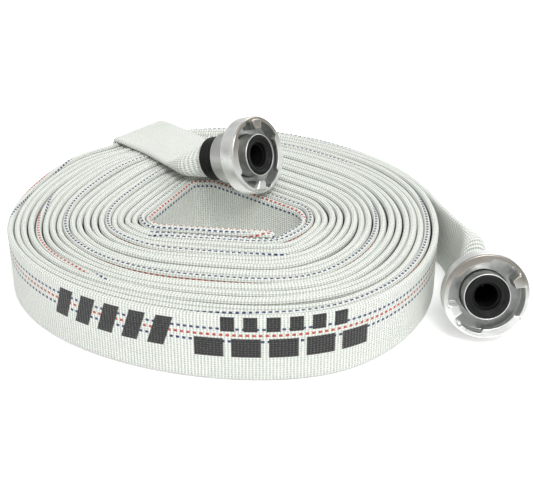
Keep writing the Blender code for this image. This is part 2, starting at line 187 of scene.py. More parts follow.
CORNER_LIMIT = 0.45          # most of a side that one corner takes
SHARP_ANGLE = math.radians(50.0)         # edges sharper than this stay sharp
RING_CORNER = 0.0007         # rounding of each piece's corners
TAIL_CORNER = 0.0003
SEAL_CORNER = 0.0005
RING_CHAMFER = 0.0010
LIP_CHAMFER = 0.0004
RIM_CHAMFER = 0.0002
CLAW_EDGE = math.radians(3.0)            # turning over which claws, lips and notches rise
LIP_EDGE = math.radians(4.0)
NOTCH_EDGE = math.radians(2.0)
SEAM_OFFSET = -1.1           # mould seam, radians on from the first claw
SEAM_SWEEP = math.radians(2.0)
SEAM_EDGE = math.radians(1.5)
SEAM_HEIGHT = 0.0002
FACE_RIM_PROUD = 0.0011      # tailpiece's thin rim round the seal
RECESS_DEPTH = 0.0046        # recess the seal sits in
SHANK_LESS = 0.0023          # shank's radius, less than the hose on it
SEAL_FIT = 0.0001            # gaps between the seal and the metal
SEAL_BACK = 0.0044
LINER_START = 0.0030         # where the ribbed liner starts in the bore
LINER_RIDGES = 12
LINER_CREST = 0.0009
LINER_GROOVE = 0.0004
SLEEVE_POINTS = 40
SLEEVE_EASE = 3.0            # points over which its ends round off
SLEEVE_ROUNDING = 0.0005
BINDING_SWELL = 0.0003       # height of the binding's turns through the rubber

# ---- cloth pattern -------------------------------------------------------------------
RIB_PITCH = 0.00205          # along the hose, one pair of weft yarns
WARP_PITCH = 0.00150         # round the hose
STRIPE_SPACING = 0.0040
STRIPE_HALF = 0.00078
STRIPE_SOFT = 0.00012
DASH_PITCH = 0.0039
DASH_SHARE = 0.56
DASH_SOFT = 0.05
CLOTH_TONES = ((0.84, 0.87, 0.81), (0.90, 0.92, 0.87))
GROOVE_SHADE_TONE = (0.34, 0.40, 0.35)         # painted shade between the ribs
GAP_SHADE_TONE = (0.05, 0.07, 0.055)        # painted shade between the strands
# how strongly the painted shade between the strands shows
GAP_SHADE_SHARE = 0.9
BLUE_YARN = (0.004, 0.020, 0.12)
RED_YARN = (0.50, 0.042, 0.015)
INK = (0.022, 0.022, 0.022)
# Stripes: place from the red one, colour, and how far on the dashes start.
STRIPES = ((-STRIPE_SPACING, BLUE_YARN, 0.1), (0.0, RED_YARN, 0.6), (STRIPE_SPACING, BLUE_YARN, 0.3))
# Rows of printed bars: first and last place along the hose, upper and lower edge, pitch,
# width as a share of the pitch, and slant.
INK_ROWS = ((-0.140, -0.053, 0.0050, 0.0245, 0.0174, 0.62, 0.35),
            (-0.028, 0.053, 0.0018, 0.0112, 0.0135, 0.62, 0.0),
            (-0.044, 0.067, 0.0158, 0.0280, 0.0222, 0.80, 0.0))
INK_SOFT = 0.0001
BAR_SOFT = 0.02              # as a share of the pitch
# Where the red stripe lies, by turns from the inner fold: metres round from the
# upper edge, towards the strip's marked face.
STRIPE_A = ((0.0, -0.0004), (0.18, -0.0004), (0.32, -0.0012), (0.70, -0.0012), (0.84, 0.0038),
            (1.04, 0.0038), (1.18, 0.0100), (2.90, 0.0100), (3.04, 0.0040), (3.34, 0.0040),
            (3.50, 0.0110), (5.62, 0.0110), (5.78, 0.0040), (6.51, 0.0040), (6.64, 0.0110),
            (8.06, 0.0110), (8.13, 0.0), (8.24, 0.0), (8.36, 0.0110), (9.50, 0.0136),
            (10.17, 0.0136), (10.31, 0.0), (10.39, 0.0110))
STRIPE_B = ((0.0, -0.0004), (0.03, -0.0048), (0.36, -0.0048), (0.45, -0.0100), (0.53, -0.0100),
            (0.62, -0.0040), (1.04, -0.0040), (1.14, -0.0100), (7.44, -0.0100), (7.52, -0.0040),
            (7.62, -0.0040), (7.74, -0.0100), (8.66, -0.0100), (8.76, -0.0040), (8.99, -0.0040),
            (9.10, -0.0100), (9.39, -0.0100), (9.51, -0.0040), (9.61, -0.0040), (9.72, -0.0170))

# ---- metal and rubber ----------------------------------------------------------------
METAL_TONES = ((0.72, 0.73, 0.71), (0.90, 0.90, 0.88))
CAVITY_SHADE_TONE = (0.115, 0.125, 0.120)      # painted shade inside the ring's face
HUB_SHADE_TONE = (0.30, 0.30, 0.29)            # painted shade on the hub behind it
UPPER_REFLECTION_TONE = (0.26, 0.235, 0.20)      # painted darker reflection on the upper part of the face
SPECK_TONE = (0.20, 0.19, 0.18)
RING_PAINTED_SHADE = 0.85             # how strongly the painted shade and painted reflection show on the lug rings
RUBBER_TONE = (0.006, 0.006, 0.006)
DUST_TONE = (0.06, 0.06, 0.055)
WIRE_TONES = ((0.42, 0.42, 0.43), (0.66, 0.66, 0.67))

# ---- view ----------------------------------------------------------------------------
CAMERA_FROM_ROLL = Vector((0.0306, -0.6560, 0.3636))
CAMERA_TILT = math.radians(61.70)
CAMERA_LENS = 69.39
SENSOR_WIDTH = 36.0
FLOOR_SIZE = 12.0
FLOOR_LEVEL = -0.0006
FLOOR_TONES = ((0.93, 0.93, 0.93), (0.95, 0.95, 0.95))
FLOOR_GLOW = 0.25
ROOM_TONES = ((0.52, 0.53, 0.53), (1.0, 1.0, 1.0))    # at the horizon and overhead
BACKDROP_TONE = (1.3, 1.3, 1.3)          # behind the object, as the camera sees it
ROOM_STRENGTH = 0.88
# Lights: name, place, size and power.
LIGHTS = (("key_light", (0.35, -1.0, 1.5), 0.7, 17.0), ("back_light", (0.6, 1.1, 1.2), 0.9, 8.0))


# ---- small helpers -------------------------------------------------------------------
def blend(a, b, share):
    return a + (b - a) * share


def smooth(share):
    share = min(1.0, max(0.0, share))
    return share * share * (3.0 - 2.0 * share)


def along_keys(keys, place):
    """Smooth value at this place of a list of (place, value) pairs."""
    if place <= keys[0][0]:
        return keys[0][1]
    for (left, before), (right, after) in zip(keys, keys[1:]):
        if place <= right:
            return blend(before, after, smooth((place - left) / (right - left)))
    return keys[-1][1]


def window(angle, middle, sweep, edge):
    """One inside the stretch about middle, zero outside, with soft edges."""
    away = abs((angle - middle + math.pi) % (2.0 * math.pi) - math.pi)
    return smooth(0.5 + (sweep / 2.0 - away) / edge)


def square_to(run, across):
    return (across - run * across.dot(run)).normalized()


# ---- path of the roll in plan --------------------------------------------------------
def outward(direction):
    return Vector((math.cos(direction), math.sin(direction), 0.0))


def clockwise(direction):
    return Vector((math.sin(direction), -math.cos(direction), 0.0))


def hole_point(direction):
    normal = outward(direction)
    corners = [Vector((x, y, 0.0)) for x, y in HOLE_CORNERS]
    reach = [corner.dot(normal) for corner in corners]
    weights = [math.exp(HOLE_SHARPNESS * (r - max(reach))) for r in reach]
    point = Vector((0.0, 0.0, 0.0))
    for corner, weight in zip(corners, weights):
        point += corner * (weight / sum(weights))
    return point + normal * HOLE_ROUNDING


def outline_point(direction):
    reach = OUTLINE_RADIUS
    slope = 0.0
    for waves, height, peak in OUTLINE_WAVES:
        reach += height * math.cos(waves * direction - peak)
        slope -= waves * height * math.sin(waves * direction - peak)
    return outward(direction) * reach - clockwise(direction) * slope


def strand_layer(turned, first_layer):
    return first_layer + turned / math.pi


def strand_point(turned, first_layer):
    direction = FOLD_DIRECTION - turned
    layer = strand_layer(turned, first_layer)
    return ROLL_CENTRE + blend(hole_point(direction), outline_point(direction), layer / LAYERS)


def layer_spacing(direction):
    room = outline_point(direction) - hole_point(direction)
    return room.dot(outward(direction)) / LAYERS


# ---- the strip as sections -----------------------------------------------------------
class Section:
    """One cut across the hose: its middle, the way to its upper edge, the way its
    marked face looks, half sizes, and how much cloth lies before each edge. Then the
    red stripe's place, the depth of the pleats, and how hidden its two sides are, which
    sets the painted shade between the strands."""

    def __init__(self, middle, across, normal, half_width, half_thick):
        self.middle = middle
        self.across = across
        self.normal = normal
        self.half_width = half_width
        self.half_thick = half_thick
        self.upper_run = 0.0
        self.lower_run = 0.0
        self.stripe = 0.0
        self.pleat = 0.0
        self.hidden_face = 0.0
        self.hidden_back = 0.0


def upright(point, normal, half_thick, height=HOSE_WIDTH):
    middle = Vector((point.x, point.y, height / 2.0))
    return Section(middle, UP, normal, height / 2.0, half_thick)


def measure(sections, start):
    """Adds up the cloth along both edges, on from the start value."""
    run = start
    before = sections[0].middle
    for section in sections:
        run += (section.middle - before).length
        before = section.middle
        section.upper_run = run
        section.lower_run = run


def pair_shift(direction, layer, slack):
    """How far a strand moves towards the other one of its pair."""
    loose = 0.6 + 0.4 * math.sin(1.7 * layer + 2.0 * direction)
    return PAIRING * slack * loose


def sideways_ripple(direction, layer, slack):
    ripple = math.sin(3.0 * direction + 0.9 * layer) + 0.6 * math.sin(7.0 * direction - 0.7 * layer)
    return RIPPLE * ripple * min(1.0, slack / RIPPLE_SLACK)


def edge_ripple(direction, layer):
    ripple = math.sin(2.3 * layer + direction) + 0.5 * math.sin(5.0 * direction + 1.9 * layer)
    return EDGE_RIPPLE * (ripple - 0.4)


def strand_sections(turn_end, first_layer, side, stripe, exposed_from):
    """Sections along one strand. Beyond exposed_from its outer side is the roll's.
    The marked face looks out on strand A, side +1, and in on strand B, side -1."""
    pressed = back_fold_frame()[0]
    sections = []
    steps = round(turn_end / TURN_STEP)
    for i in range(steps + 1):
        turned = i * TURN_STEP
        direction = FOLD_DIRECTION - turned
        layer = strand_layer(turned, first_layer)
        room = layer_spacing(direction)
        slack = max(0.0, room - TIGHT_SPACING)
        shift = pair_shift(direction, layer, slack)
        point = strand_point(turned, first_layer)
        point += outward(direction) * (side * shift + sideways_ripple(direction, layer, slack))
        half_thick = (room - 2.0 * shift) * PACKING / 2.0
        pressing = math.exp(-((point - pressed).length / PRESS_REACH) ** 2)
        height = HOSE_WIDTH + edge_ripple(direction, layer) - PRESS_DEPTH * pressing
        section = upright(point, outward(direction) * side, half_thick, height)
        section.stripe = along_keys(stripe, turned / (2.0 * math.pi))
        hidden_outside = 1.0 - smooth((turned - exposed_from) / OUTSIDE_LEAD)
        if side > 0.0:
            section.hidden_face = hidden_outside
            section.hidden_back = smooth((turned - HOLE_TURN) / HOLE_FADE)
        else:
            section.hidden_face = 1.0
            section.hidden_back = hidden_outside
        sections.append(section)
    return sections


def inner_fold_sections(first_a, first_b):
    """Half turn that joins the two strands at the middle of the hose."""
    middle = (first_a.middle + first_b.middle) / 2.0
    across = (first_b.middle - first_a.middle) / 2.0
    across.z = 0.0
    along = Vector((across.y, -across.x, 0.0))
    if along.dot(clockwise(FOLD_DIRECTION)) > 0.0:
        along = -along
    sections = []
    for i in range(1, FOLD_STEPS):
        angle = math.pi * i / FOLD_STEPS
        swing = along * (FOLD_BULGE * math.sin(angle)) - across * math.cos(angle)
        normal = (across * math.cos(angle) - along * math.sin(angle)).normalized()
        sections.append(upright(middle + swing, normal, first_a.half_thick, first_a.half_width * 2.0))
    return sections


def between(low, high, normal, half_thick, low_run, high_run):
    section = Section((low + high) / 2.0, (high - low).normalized(), normal,
                      (high - low).length / 2.0, half_thick)
    section.lower_run = low_run
    section.upper_run = high_run
    return section


def back_fold_frame():
    """Foot, direction of running and outward direction of the fold behind the roll."""
    direction = FOLD_DIRECTION - TURN_A
    along = clockwise(direction)
    foot = strand_point(TURN_A, LAYER_A) + along * FIT_GAP
    return foot, along, outward(direction)


def rim_frame():
    """Directions of end A at the rim: along its bending line and square to it."""
    _, along, out = back_fold_frame()
    return (along * math.cos(RIM_SKEW) + out * math.sin(RIM_SKEW),
            out * math.cos(RIM_SKEW) - along * math.sin(RIM_SKEW))


def back_fold_sections():
    """From the end of strand A round the diagonal fold and up to the rim."""
    foot, along, out = back_fold_frame()
    low = foot + UP * BACK_FOLD_LOW
    high = foot + along * HOSE_WIDTH + UP * BACK_FOLD_HIGH
    top_left = foot + UP * (RIM_HEIGHT - FLEX_GAP - RIM_DROP_NEAR)
    top_right = foot + rim_frame()[0] * HOSE_WIDTH + UP * (RIM_HEIGHT - FLEX_GAP - RIM_DROP_FAR)
    radius = HOSE_THICK / 2.0 + FIT_GAP
    away = (along - UP).normalized()
    half = HOSE_THICK / 2.0
    sections = []
    for i in range(1, BACK_FOLD_STEPS + 1):
        share = i / BACK_FOLD_STEPS
        left = blend(foot, low, share)
        right = blend(foot + UP * HOSE_WIDTH, high, share)
        sections.append(between(left, right, out, half, 0.0, HOSE_WIDTH * share))
    for i in range(1, BACK_FOLD_STEPS + 1):
        angle = math.pi * i / BACK_FOLD_STEPS
        shift = out * (radius * (1.0 - math.cos(angle))) + away * (radius * math.sin(angle))
        normal = out * math.cos(angle) - away * math.sin(angle)
        sections.append(between(low + shift, high + shift, normal, half, 0.0, HOSE_WIDTH))
    lift = out * (2.0 * radius)
    for i in range(1, BACK_FOLD_STEPS + 1):
        share = i / BACK_FOLD_STEPS
        left = blend(low, top_left, share) + lift
        right = blend(high, top_right, share) + lift
        sections.append(between(left, right, -out, half, HOSE_WIDTH * share, HOSE_WIDTH))
    for section in sections:
        section.stripe = STRIPE_A[-1][1]
    return sections


def stadium(share, half_width, half_thick):
    """Point of a flattened round outline: (towards the upper edge, towards the face)."""
    straight = 2.0 * (half_width - half_thick)
    cap = math.pi * half_thick
    distance = share * 2.0 * (straight + cap)
    side = 1.0
    if distance > straight + cap:
        distance = 2.0 * (straight + cap) - distance
        side = -1.0
    if distance < cap / 2.0:
        angle = distance / half_thick
        return straight / 2.0 + half_thick * math.cos(angle), side * half_thick * math.sin(angle)
    distance -= cap / 2.0
    if distance < straight:
        return straight / 2.0 - distance, side * half_thick
    angle = (distance - straight) / half_thick
    return -straight / 2.0 - half_thick * math.sin(angle), side * half_thick * math.cos(angle)


def ring_shares():
    """Places round the strip, crowded at its two edges."""
    half = [0.25 * (1.0 - math.cos(math.pi * k / RING_HALF)) for k in range(RING_HALF)]
    return half + [0.5 + share for share in half]


def section_points(section, shares):
    points = []
    flatness = 1.0 - section.half_thick / section.half_width
    for share in shares:
        rise, depth = stadium(share, section.half_width, section.half_thick)
        inner = 1.0 - (rise / section.half_width) ** 4
        depth *= 1.0 - PINCH * flatness * inner
        if section.pleat:
            pleat = 1.0 + section.pleat * math.cos(2.0 * math.pi * PLEAT_COUNT * share)
            rise *= pleat
            depth *= pleat
        points.append(section.middle + section.across * rise + section.normal * depth)
    return points


def gap_shade_share(section, share):
    """Painted shade on the cloth at this place round it, between the strands."""
    hidden = section.hidden_face if share < 0.5 else section.hidden_back
    from_edge = (0.5 - abs(0.5 - share)) * CLOTH_ROUND
    return hidden * smooth(from_edge / GAP_SHADE_DEPTH - GAP_SHADE_START)


def link_mesh(name, points, faces, material):
    mesh = bpy.data.meshes.new(name)
    mesh.from_pydata(points, [], faces)
    mesh.materials.append(material)
    obj = bpy.data.objects.new(name, mesh)
    bpy.context.scene.collection.objects.link(obj)
    return obj


def strip_object(name, sections, material):
    """Closed tube of cloth through the sections, with its two UV maps."""
    shares = ring_shares()
    count = len(shares)
    points = []
    # painted shade between the strands, at each point
    gap_shade = []
    for section in sections:
        points += section_points(section, shares)
        gap_shade += [gap_shade_share(section, share) for share in shares]
    faces = []
    cloth = []
    marks = []
    for i in range(len(sections) - 1):
        for k in range(count):
            m = (k + 1) % count
            faces.append((i * count + k, i * count + m, (i + 1) * count + m, (i + 1) * count + k))
            for step, place in ((0, k), (0, k + 1), (1, k + 1), (1, k)):
                section = sections[i + step]
                share = shares[place] if place < count else 1.0
                signed = share if k < RING_HALF else share - 1.0
                level = 1.0 - 2.0 * abs(signed)
                run = blend(section.lower_run, section.upper_run, level)
                cloth += (run, signed * CLOTH_ROUND)
                marks += (run, signed * CLOTH_ROUND - section.stripe)
    obj = link_mesh(name, points, faces, material)
    mesh = obj.data
    mesh.uv_layers.new(name="cloth").data.foreach_set("uv", cloth)
    mesh.uv_layers.new(name="marks").data.foreach_set("uv", marks)
    # the painted shade between the strands, read by the cloth shader
    mesh.attributes.new("gap_shade", "FLOAT", "POINT").data.foreach_set("value", gap_shade)
    mesh.shade_smooth()
    return obj


# ---- free ends -----------------------------------------------------------------------
def bezier(points, share):
    p0, p1, p2, p3 = points
    rest = 1.0 - share
    place = p0 * rest ** 3 + p1 * (3 * rest * rest * share)
    place += p2 * (3 * rest * share * share) + p3 * share ** 3
    run = (p1 - p0) * rest * rest + (p2 - p1) * (2 * rest * share) + (p3 - p2) * share * share
    return place, run.normalized()


class SleeveEnd:
    """Where and how a free end enters its sleeve: the coupling's face and axis, the way
    across the hose there, the lengths it runs on straight at both ends, and the lengths
    over which it gathers and rounds out."""

    def __init__(self, face, axis, across, pulls, gather, swell):
        self.face = ROLL_CENTRE + face
        self.axis = axis
        self.across = across
        self.pulls = pulls
        self.gather = gather
        self.swell = swell


def end_sections(start, start_run, start_across, sleeve, floors):
    """Sections along a free end, flat at first and round where it enters the sleeve.
    Its underside stays above the first floor at the start and the second further on."""
    finish = sleeve.face - sleeve.axis * SLEEVE_END
    control = (start, start + start_run * sleeve.pulls[0], finish - sleeve.axis * sleeve.pulls[1], finish)
    sections = []
    for i in range(END_STEPS + 1):
        share = 1.0 - (1.0 - i / END_STEPS) ** END_CROWDING
        place, run = bezier(control, share)
        gone = (place - start).length
        left = (finish - place).length
        square = square_to(run, blend(start_across, sleeve.across, smooth(share)))
        across = blend(start_across, square, smooth(gone / SKEW_RUN)).normalized()
        half_width = blend(TUBE_RADIUS, HOSE_WIDTH / 2.0, smooth(left / sleeve.gather))
        half_thick = blend(TUBE_RADIUS, HOSE_THICK / 2.0, smooth(left / sleeve.swell))
        rise = run.cross(across).normalized()
        reach = math.hypot(half_width * across.z, half_thick * rise.z)
        floor = blend(floors[0], floors[1], smooth(gone / FLOOR_RUN))
        place.z = max(place.z, floor + reach)
        section = Section(place, across, rise, half_width, half_thick)
        section.pleat = PLEAT_DEPTH * (1.0 - smooth(left / (PLEAT_REACH * sleeve.gather)))
        sections.append(section)
    across = square_to(sleeve.axis, sleeve.across)
    tucked = Section(finish + sleeve.axis * SLEEVE_TUCK, across, sleeve.axis.cross(across),
                     TUBE_RADIUS, TUBE_RADIUS)
    tucked.pleat = PLEAT_DEPTH
    sections.append(tucked)
    return sections


def end_a_sections():
    """From the rim, where the cloth bends over onto the roll, to the sleeve of coupling A."""
    foot, _, out = back_fold_frame()
    lift = out * (2.0 * (HOSE_THICK / 2.0 + FIT_GAP))
    along, out = rim_frame()
    middle = foot + lift + along * (HOSE_WIDTH / 2.0)
    half = HOSE_THICK / 2.0
    height = RIM_HEIGHT - (RIM_DROP_NEAR + RIM_DROP_FAR) / 2.0
    tilt = (RIM_DROP_NEAR - RIM_DROP_FAR) / HOSE_WIDTH
    across = (along + Vector((0.0, 0.0, tilt))).normalized()
    sections = []
    for i in range(BEND_STEPS + 1):
        angle = math.pi / 2.0 * i / BEND_STEPS
        place = middle - out * (FLEX_GAP * (1.0 - math.cos(angle)))
        place.z = height - FLEX_GAP * (1.0 - math.sin(angle))
        normal = -out * math.cos(angle) - UP * math.sin(angle)
        sections.append(Section(place, across, square_to(across, normal), HOSE_WIDTH / 2.0, half))
    start = sections[-1].middle
    level = UP.cross(COUPLING_A_AXIS).normalized()
    lowest = height - half - tilt * HOSE_WIDTH / 2.0 - END_A_TUCK
    sleeve = SleeveEnd(COUPLING_A_FACE, COUPLING_A_AXIS, level, END_A_PULLS, END_A_GATHER, END_A_SWELL)
    tail = end_sections(start, outward(END_A_HEADING), across, sleeve, (lowest, HOSE_WIDTH + END_A_RISE))
    for section in tail:
        section.normal = -section.normal if section.normal.z > 0.0 else section.normal
    sections += tail[1:]
    measure(sections, 0.0)
    for section in sections:
        section.stripe = STRIPE_A[-1][1]
    return sections


def end_b_sections(run):
    """Straight on from the end of strand B, then to the sleeve of coupling B."""
    leaving = FOLD_DIRECTION - TURN_B
    heading = clockwise(leaving)
    last = strand_point(TURN_B, LAYER_B)
    room = layer_spacing(leaving)
    sections = []
    straight = END_B_STRAIGHT + 2.0 * FLEX_GAP
    for i in range(EXIT_STEPS + 1):
        share = i / EXIT_STEPS
        half = blend(room * PACKING / 2.0, HOSE_THICK / 2.0, smooth(share * 2.0))
        sections.append(upright(last + heading * (straight * share), -outward(leaving), half))
    start = sections[-1].middle
    sleeve = SleeveEnd(COUPLING_B_FACE, COUPLING_B_AXIS, END_B_LEAN, END_B_PULLS, END_B_GATHER, END_B_SWELL)
    floor = 2.0 * FIT_GAP
    tail = end_sections(start, heading, UP, sleeve, (floor, floor))
    inward = -outward(leaving)
    for section in tail:
        section.normal = -section.normal if section.normal.dot(inward) < 0.0 else section.normal
    sections += tail[1:]
    measure(sections, run)
    for section in sections:
        section.stripe = STRIPE_B[-1][1]
    return sections


def build_hose(material):
    """The roll and its two free ends, measured so that the cloth runs through."""
    strand_a = strand_sections(TURN_A, LAYER_A, 1.0, STRIPE_A, TURN_B - OUTSIDE_LEAD)
    strand_b = strand_sections(TURN_B, LAYER_B, -1.0, STRIPE_B, TURN_A - 2.0 * math.pi)
    fold = inner_fold_sections(strand_a[0], strand_b[0])
    winding = strand_a[::-1] + fold + strand_b
    measure(winding, 0.0)
    front = strand_a[round(FRONT_TURN / TURN_STEP)].upper_run
    for section in winding:
        section.upper_run -= front
        section.lower_run -= front
    last_run = winding[-1].upper_run
    first_run = winding[0].upper_run
    back = back_fold_sections()
    for section in back:
        section.upper_run = first_run - section.upper_run
        section.lower_run = first_run - section.lower_run
    roll = strip_object("rolled_hose", back[::-1] + winding, material)
    tail_a = end_a_sections()
    for section in tail_a:
        section.upper_run = first_run - HOSE_WIDTH - section.upper_run
        section.lower_run = section.upper_run
    end_a = strip_object("hose_end_a_cloth", tail_a[::-1], material)
    end_b = strip_object("hose_end_b_cloth", end_b_sections(last_run), material)
    return roll, end_a, end_b


# ---- couplings -----------------------------------------------------------------------
def rounded(profile, radius):
    """The closed profile with each corner cut round."""
    made = []
    count = len(profile)
    for i in range(count):
        before = Vector(profile[i - 1])
        corner = Vector(profile[i])
        after = Vector(profile[(i + 1) % count])
        reach_in = min(radius, CORNER_LIMIT * (before - corner).length)
        reach_out = min(radius, CORNER_LIMIT * (after - corner).length)
        start = corner + (before - corner).normalized() * reach_in if reach_in else corner
        end = corner + (after - corner).normalized() * reach_out if reach_out else corner
        for share in CORNER_SHARES:
            here = blend(blend(start, corner, share), blend(corner, end, share), share)
            made.append((here.x, here.y))
    return made


def turned_object(name, profile_at, steps, material):
    """Solid of revolution about Z whose closed profile may change with the angle."""
    points = []
    for i in range(steps):
        angle = 2.0 * math.pi * i / steps
        for radius, height in profile_at(angle):
            points.append((radius * math.cos(angle), radius * math.sin(angle), height))
    count = len(points) // steps
    faces = []
    for i in range(steps):
        j = (i + 1) % steps
        for k in range(count):
            m = (k + 1) % count
            faces.append((i * count + k, i * count + m, j * count + m, j * count + k))
    obj = link_mesh(name, points, faces, material)
    obj.data.validate()
    obj.data.shade_smooth()
    obj.data.set_sharp_from_angle(angle=SHARP_ANGLE)
    return obj


def lug_ring_profile(angle, claw_angle):
    """Two claws and two lips on the rim of a deep ring, with a hub behind it."""
    claw = 0.0
    lip = 0.0
    notch = 0.0
    for side in (0.0, math.pi):
        claw += window(angle, claw_angle + side, CLAW_SWEEP, CLAW_EDGE)
        lip += window(angle, claw_angle + side + math.pi / 2.0, LIP_SWEEP, LIP_EDGE)
        notch += window(angle, claw_angle + side + NOTCH_OFFSET, NOTCH_SWEEP, NOTCH_EDGE)
    wall = CAVITY_RADIUS - (CAVITY_RADIUS - CLAW_INNER) * claw + NOTCH_DEPTH * notch
    lip_edge = wall - (CAVITY_RADIUS - LIP_RADIUS) * lip
    crown = CLAW_PROUD * claw
    seam = SEAM_HEIGHT * window(angle, claw_angle + SEAM_OFFSET, SEAM_SWEEP, SEAM_EDGE)
    side = RING_RADIUS + seam
    crown_edge = max(wall + 2.0 * LIP_CHAMFER, CAVITY_RADIUS + LIP_CHAMFER)
    profile = [(side - RING_CHAMFER, 0.0), (side, -1.2 * RING_CHAMFER),
               (side, -RING_LENGTH + RING_BEVEL), (side - RING_BEVEL, -RING_LENGTH),
               (HUB_RADIUS + 0.8 * RING_CHAMFER, -RING_LENGTH),
               (HUB_RADIUS, -RING_LENGTH - RING_CHAMFER), (HUB_RADIUS, -HUB_LENGTH),
               (RING_BORE, -HUB_LENGTH), (RING_BORE, -CAVITY_DEPTH),
               (wall, -CAVITY_DEPTH), (wall, -LIP_BACK),
               (lip_edge, -LIP_BACK), (lip_edge, crown - LIP_FRONT),
               (lip_edge + LIP_CHAMFER, crown), (crown_edge, crown),
               (CAVITY_RADIUS + 4.0 * LIP_CHAMFER, 0.0)]
    return rounded(profile, RING_CORNER)


def tailpiece_profile(_):
    """Neck with a thin rim round the seal's recess, and the shank in the hose."""
    shank = TUBE_RADIUS - SHANK_LESS
    recess = SEAL_RADIUS + SEAL_FIT
    rim = FACE_RIM_PROUD
    profile = [(NECK_RADIUS - RIM_CHAMFER, rim), (NECK_RADIUS, rim - 2.0 * RIM_CHAMFER),
               (NECK_RADIUS, -SLEEVE_START), (shank, -SLEEVE_START),
               (shank, -TAIL_LENGTH), (BORE_RADIUS, -TAIL_LENGTH),
               (BORE_RADIUS, -RECESS_DEPTH), (recess, -RECESS_DEPTH), (recess, rim)]
    return rounded(profile, TAIL_CORNER)


def seal_profile(_):
    """Seal with a step: a raised band outside, a lower one next to the bore."""
    inner = BORE_RADIUS + SEAL_FIT
    profile = [(SEAL_RADIUS, 0.0006), (SEAL_RADIUS, -SEAL_BACK), (inner, -SEAL_BACK),
               (inner, -0.0010), (BORE_RADIUS + 0.0010, 0.0002),
               (BORE_RADIUS + 0.0024, 0.0004), (BORE_RADIUS + 0.0030, 0.0012),
               (SEAL_RADIUS - 0.0012, 0.0014)]
    return rounded(profile, SEAL_CORNER)


def bore_profile(_):
    """Ribbed rubber liner in the bore, seen down the opening."""
    outer = BORE_RADIUS + SEAL_FIT
    profile = [(outer, -LINER_START), (outer, -TAIL_LENGTH)]
    for i in range(LINER_RIDGES + 1):
        height = blend(-TAIL_LENGTH, -LINER_START, i / LINER_RIDGES)
        profile.append((BORE_RADIUS - (LINER_GROOVE if i % 2 else LINER_CREST), height))
    return profile


def sleeve_profile(angle):
    """Rubber sleeve that follows the turns of the binding under it."""
    profile = []
    for i in range(SLEEVE_POINTS + 1):
        share = i / SLEEVE_POINTS
        height = blend(-SLEEVE_START, -SLEEVE_END, share)
        edge = min(share, 1.0 - share) * SLEEVE_POINTS / SLEEVE_EASE
        swell = BINDING_SWELL * math.cos(2.0 * math.pi * BINDING_TURNS * share + angle)
        profile.append((SLEEVE_RADIUS - SLEEVE_ROUNDING * (1.0 - smooth(edge)) + swell, height))
    inner = TUBE_RADIUS + 2.0 * SEAL_FIT
    profile += [(inner, -SLEEVE_END), (inner, -SLEEVE_START)]
    return profile


def axis_frame(face, axis):
    level = UP.cross(axis).normalized()
    upward = axis.cross(level)
    turn = Matrix((level, upward, axis)).transposed().to_4x4()
    return Matrix.Translation(face) @ turn


def place_on(obj, frame, body, slot, *nodes):
    obj.matrix_world = frame
    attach(obj, body)
    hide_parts(*nodes)


def build_coupling(letter, face, axis, claw_angle, cast, turned, rubber):
    frame = axis_frame(ROLL_CENTRE + face, axis)
    end = f"hose_end_{letter}"
    name = f"coupling_{letter}"
    ring = turned_object(f"lug_ring_{letter}_cast", lambda angle: lug_ring_profile(angle, claw_angle),
                         RING_STEPS, cast)
    place_on(ring, frame, f"lug_ring_{letter}", "cast", f"{name}_lug_ring")
    tail = turned_object(f"tailpiece_{letter}_cast", tailpiece_profile, LATHE_STEPS, turned)
    place_on(tail, frame, end, "cast", f"{name}_tailpiece")
    seal = turned_object(f"seal_{letter}_rubber", seal_profile, LATHE_STEPS, rubber)
    place_on(seal, frame, end, "rubber", f"{name}_seal")
    bore = turned_object(f"bore_{letter}_rubber", bore_profile, BORE_STEPS, rubber)
    place_on(bore, frame, end, "rubber")
    sleeve = turned_object(f"sleeve_{letter}_rubber", sleeve_profile, LATHE_STEPS, rubber)
    place_on(sleeve, frame, end, "rubber", f"{name}_sleeve")


# ---- shader helpers ------------------------------------------------------------------
def new_material(name):
    material = bpy.data.materials.new(name)
    material.use_nodes = True
    return material, material.node_tree, material.node_tree.nodes["Principled BSDF"]


def feed(tree, socket, value):
    if isinstance(value, bpy.types.NodeSocket):
        tree.links.new(value, socket)
    else:
        socket.default_value = value


def calc(tree, operation, *values):
    node = tree.nodes.new("ShaderNodeMath")
    node.operation = operation
    for socket, value in zip(node.inputs, values):
        feed(tree, socket, value)
    return node.outputs[0]


def product(tree, *values):
    result = values[0]
    for value in values[1:]:
        result = calc(tree, "MULTIPLY", result, value)
    return result


def wave(tree, place, pitch):
    return calc(tree, "COSINE", calc(tree, "MULTIPLY", place, 2.0 * math.pi / pitch))


def noise_value(tree, place, scale, detail=3.0):
    node = tree.nodes.new("ShaderNodeTexNoise")
    feed(tree, node.inputs["Vector"], place)
    node.inputs["Scale"].default_value = scale
    node.inputs["Detail"].default_value = detail
    return node.outputs["Fac"]


def ramp(tree, value, low, high, to_low, to_high):
    node = tree.nodes.new("ShaderNodeMapRange")
    feed(tree, node.inputs["Value"], value)
    node.inputs["From Min"].default_value = low
    node.inputs["From Max"].default_value = high
    node.inputs["To Min"].default_value = to_low
    node.inputs["To Max"].default_value = to_high
    return node.outputs[0]


def inside(tree, place, middle, half, soft):
    """One where place is within half of middle, zero beyond."""
    away = calc(tree, "ABSOLUTE", calc(tree, "SUBTRACT", place, middle))
    return ramp(tree, away, half - soft, half + soft, 1.0, 0.0)


